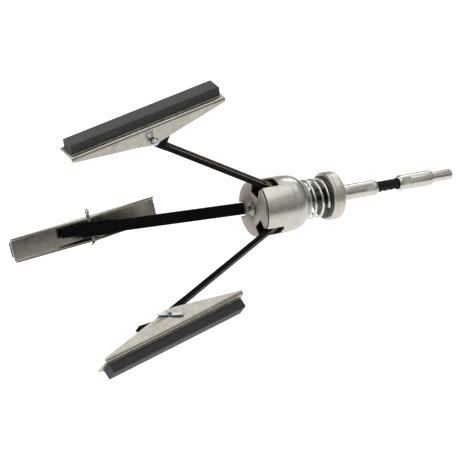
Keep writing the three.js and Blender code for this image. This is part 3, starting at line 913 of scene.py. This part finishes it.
def arm_shape():
    pin = -ARM_LENGTH
    arm = prism("arm", arm_side_outline(), "y", -HEAD_WIDTH, HEAD_WIDTH)
    combine(arm, [prism("arm_plan", arm_plan(pin - 22, 1, 0), "z", -12, 30)], "INTERSECT")
    inside = arm_plan(pin - 17.5, -7, ARM_GAUGE)
    combine(arm, [prism("arm_inside", inside, "z", WEB_INNER + ARM_GAUGE, 30)])
    lug = crossbar("lug", 0, 0, LUG_R, ARM_WIDTH / 2, 0.2)
    foot = Vector((math.sin(TOE_ANGLE), -math.cos(TOE_ANGLE))) * TOE_LENGTH
    wide = Vector((math.cos(TOE_ANGLE), math.sin(TOE_ANGLE))) * TOE_R
    outline = [tuple(corner) for corner in (-wide, foot - wide, foot + wide, wide)]
    stem = prism("stem", outline, "y", -TOE_WIDTH / 2, TOE_WIDTH / 2)
    toe = crossbar("toe", foot.x, foot.y, TOE_R, TOE_WIDTH / 2, 0.2)
    combine(arm, [lug, stem, toe], "UNION")
    pivot_hole = crossbar("hole", 0, 0, PIVOT_PIN_R + 0.25, HEAD_WIDTH)
    head_hole = crossbar("hole", pin, PIN_OFFSET, SPLIT_PIN_R + 0.95, HEAD_WIDTH)
    combine(arm, [pivot_hole, head_hole])
    return smooth(soften(arm, 0.22, 2))


def shoe_shape():
    """A bent sheet: a web under the stone and two walls that end in triangular ears."""
    half, inner = SHOE_WIDTH / 2, SHOE_WIDTH / 2 - SHOE_GAUGE
    under = SHOE_TOP - SHOE_GAUGE
    section = [(half, SHOE_LOW), (half, SHOE_TOP, 1.7), (-half, SHOE_TOP, 1.7), (-half, SHOE_LOW)]
    section += [(-inner, SHOE_LOW), (-inner, under, 0.6), (inner, under, 0.6), (inner, SHOE_LOW)]
    outline = [
        (SHOE_FRONT, SHOE_TOP + 1),
        (SHOE_FRONT, 5.9, 0.7),
        (-7.4, -2.3, 7),
        (-1.5, -4.05, 6),
        (4.6, -3.45, 7),
        (SHOE_REAR, 5.8, 0.7),
        (SHOE_REAR, SHOE_TOP + 1),
    ]
    shoe = prism("shoe", section, "x", SHOE_FRONT - 1, SHOE_REAR + 1)
    combine(shoe, [prism("shoe_side", outline, "y", -half - 1, half + 1)], "INTERSECT")
    combine(shoe, [crossbar("hole", 0, 0, SPLIT_PIN_R + 0.3, SHOE_WIDTH)])
    return smooth(soften(shoe, 0.2, 2))


def stone_shape():
    """A bar of grit with slightly uneven, rubbed corners and a chamfered rear end."""
    wear, waviness = 0.10, 0.008
    half, low = STONE_WIDTH / 2, SHOE_TOP + STONE_GAP
    high, end = low + STONE_HEIGHT, STONE_FRONT + STONE_LENGTH
    section = [(half, low), (half, high, 0.45), (-half, high, 0.45), (-half, low)]
    bar = prism("stone", section, "x", STONE_FRONT, end, 60)
    nick = [(end - 0.9, high + 0.1), (end + 0.1, high + 0.1), (end + 0.1, high - 0.8)]
    cutter = prism("nick", nick, "y", -STONE_WIDTH, STONE_WIDTH)
    soften(combine(bar, [cutter]), 0.3, 2, 50)
    for vertex in bar.data.vertices:
        seed = vertex.co * 900
        if vertex.co.z / MM > high - 0.6:
            vertex.co.z -= wear * MM * max(0.0, noise.noise(seed))
        vertex.co.y *= 1 - waviness * max(0.0, noise.noise(seed + Vector((7, 3, 5))))
    return smooth(bar, 50)


def resin_shape():
    """The bed of cement: it fills the gap under the stone and wells up round its foot."""
    half = STONE_WIDTH / 2 + 0.02
    side = [(half + 0.6, 0.01), (half + 0.35, 0.2, 0.2), (half + 0.1, 0.6, 0.1)]
    side += [(half, 0.55), (half, STONE_GAP - 0.01)]
    section = [(y, SHOE_TOP + z, *more) for y, z, *more in side]
    section += [(-y, z, *more) for y, z, *more in reversed(section)]
    bed = prism("resin", section, "x", STONE_FRONT - 0.3, STONE_FRONT + STONE_LENGTH + 0.2, 80)
    for vertex in bed.data.vertices:
        swell = 1 + 0.035 * noise.noise(Vector((vertex.co.x * 160, vertex.co.y * 40, 0)))
        if abs(vertex.co.y) > (half + 0.05) * MM:
            vertex.co.y *= swell
    return smooth(bed, 50)


def split_pin_path():
    """Where the pin's folded half-round wire runs: (x, y) points, from one leg's tip to the other's."""
    side = SHOE_WIDTH / 2
    leg = [(8.8, side + 1.25), (6.6, side + 1.5), (4.2, side + 1.55), (2.0, side + 1.35)]
    leg += [(0.8, side + 0.8), (0.25, side - 0.1), (0.06, side - 1.4), (0.05, 0)]
    leg += [(0.05, -side + 0.5), (0.15, -side - 0.5)]
    middle, eye_r = -side - 3.1, 1.65
    eye = []
    for k in range(1, 12):
        angle = math.radians(62 - 304 * k / 12)
        eye.append((eye_r * math.cos(angle), middle + eye_r * math.sin(angle)))
    return leg + eye + [(-x, y) for x, y in reversed(leg)]


def spline(points, per_span):
    """A smooth curve through points, sampled evenly in each span."""
    samples = []
    padded = [points[0]] + points + [points[-1]]
    for a, b, c, d in zip(padded, padded[1:], padded[2:], padded[3:]):
        for k in range(per_span):
            t = k / per_span
            terms = []
            for p, q, r, s in zip(a, b, c, d):
                square, cube = 2 * p - 5 * q + 4 * r - s, 3 * q - p - 3 * r + s
                terms.append(0.5 * (2 * q + (r - p) * t + square * t * t + cube * t**3))
            samples.append(Vector(terms))
    samples.append(Vector(points[-1]))
    return samples


def split_pin_shape():
    line = spline(split_pin_path(), 5)
    flat = [(0, -SPLIT_WIRE_R, 0.2), (SPLIT_WIRE_R, -SPLIT_WIRE_R, 1.0)]
    section = rounded(flat + [(x, -z, radius) for x, z, radius in reversed(flat)])
    rings = []
    for i, here in enumerate(line):
        ahead = (line[min(i + 1, len(line) - 1)] - line[max(i - 1, 0)]).normalized()
        out = Vector((-ahead.y, ahead.x))
        taper = min(1.0, 0.55 + 0.15 * min(i, len(line) - 1 - i))
        ring = []
        for a, b in section:
            ring.append((here.x + out.x * a * taper, here.y + out.y * a * taper, b * taper))
        rings.append(ring)
    return smooth(loft("split_pin", rings), 45)


def make_arms():
    """The three arms with their carriers, stones, cement beds and split pins."""
    arm, shoe, stone = arm_shape(), shoe_shape(), stone_shape()
    bed, pin = resin_shape(), split_pin_shape()
    for side in SIDES:
        place = carrier_place(side)
        body = f"carrier_{side}"
        piece = copy_to(arm, f"arm_{side}_body", arm_place(side))
        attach(dress(piece, BLACK, [f"arm_{side}"]), f"arm_{side}")
        piece = copy_to(shoe, f"shoe_{side}_body", place)
        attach(dress(piece, ZINC, [f"shoe_{side}"]), body)
        piece = copy_to(stone, f"stone_{side}_body", place)
        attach(dress(piece, STONE, [f"stone_{side}"]), body)
        piece = copy_to(bed, f"resin_bed_{side}", place)
        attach(dress(piece, RESIN), body)
        turn = Matrix.Rotation(-math.radians(PIN_TURN[side]), 4, "Y")
        piece = copy_to(pin, f"split_pin_{side}_body", place @ turn)
        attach(dress(piece, PIN_WIRE, [f"split_pin_{side}"]), body)
    for template in (arm, shoe, stone, bed, pin):
        bpy.data.objects.remove(template)


make_shank()
make_coupling()
make_cable()
make_spindle()
make_front_plate()
make_arm_carrier()
make_pivot_pins()
make_sleeve()
make_thrust_ring()
make_spring()
make_seat()
make_nut()
make_arms()


# ---- Stage: pale floor, sky with a dark horizon for the metal to reflect, and soft lamps
FLOOR_GLOW = 0.5
FLOOR_DROP = 0.05
FLOOR_HALF = 6
SKY_STOPS = [(0.0, 0.35), (0.12, 0.12), (0.3, 0.26), (0.55, 0.55), (1.0, 0.65)]
LAMP_TARGET = Vector((-0.2, 0, 0))


def make_floor():
    """A pale floor that glows a little, so that it stays white up to the picture's edge."""
    low = cad_box[0].z - FLOOR_DROP
    centre = (cad_box[0] + cad_box[1]) / 2
    bm = bmesh.new()
    bmesh.ops.create_grid(bm, x_segments=8, y_segments=8, size=FLOOR_HALF)
    data = bpy.data.meshes.new("floor")
    bm.to_mesh(data)
    bm.free()
    floor = new_object("floor", data)
    floor.location = (centre.x, centre.y, low)
    look = Look("floor_white", Specular_IOR_Level=0.2)
    mottle = look.noise(look.stretched(0.01, 0.01, 0.01), detail=3)
    tint = look.blend(look.spread(mottle, 0.3, 0.7, 0, 1), (0.93, 0.93, 0.925), (0.95, 0.95, 0.95))
    roughness = look.spread(mottle, 0.3, 0.7, 0.75, 0.85)
    look.set(Base_Color=tint, Roughness=roughness)
    look.shader.inputs["Emission Color"].default_value = (1, 1, 1, 1)
    look.shader.inputs["Emission Strength"].default_value = FLOOR_GLOW
    floor.data.materials.append(look.material)


def make_sky():
    world = bpy.data.worlds.new("studio")
    scene.world = world
    world.use_nodes = True
    tree = world.node_tree
    shader = tree.nodes["Background"]
    direction = tree.nodes.new("ShaderNodeTexCoord").outputs["Generated"]
    parts = tree.nodes.new("ShaderNodeSeparateXYZ")
    tree.links.new(direction, parts.inputs[0])
    ramp = tree.nodes.new("ShaderNodeValToRGB")
    tree.links.new(parts.outputs[2], ramp.inputs[0])
    elements = ramp.color_ramp.elements
    while len(elements) < len(SKY_STOPS):
        elements.new(0.5)
    for element, (height, level) in zip(elements, SKY_STOPS):
        element.position = height
        element.color = (level, level * 0.995, level * 0.98, 1)
    tree.links.new(ramp.outputs[0], shader.inputs["Color"])
    shader.inputs["Strength"].default_value = 1.0


def lamp(name, place, size, power):
    data = bpy.data.lights.new(name, "AREA")
    data.shape = "RECTANGLE"
    data.size, data.size_y = size
    data.energy = power
    obj = bpy.data.objects.new(name, data)
    scene.collection.objects.link(obj)
    obj.location = place
    obj.rotation_mode = "QUATERNION"
    obj.rotation_quaternion = (LAMP_TARGET - Vector(place)).to_track_quat("-Z", "Y")


make_floor()
make_sky()
lamp("overhead", (-0.15, 0.1, 1.1), (1.6, 1.3), 6)
lamp("key", (-0.9, -0.5, 0.8), (0.4, 0.4), 0.8)
lamp("rim", (0.5, 0.7, 0.6), (0.4, 0.3), 1.0)
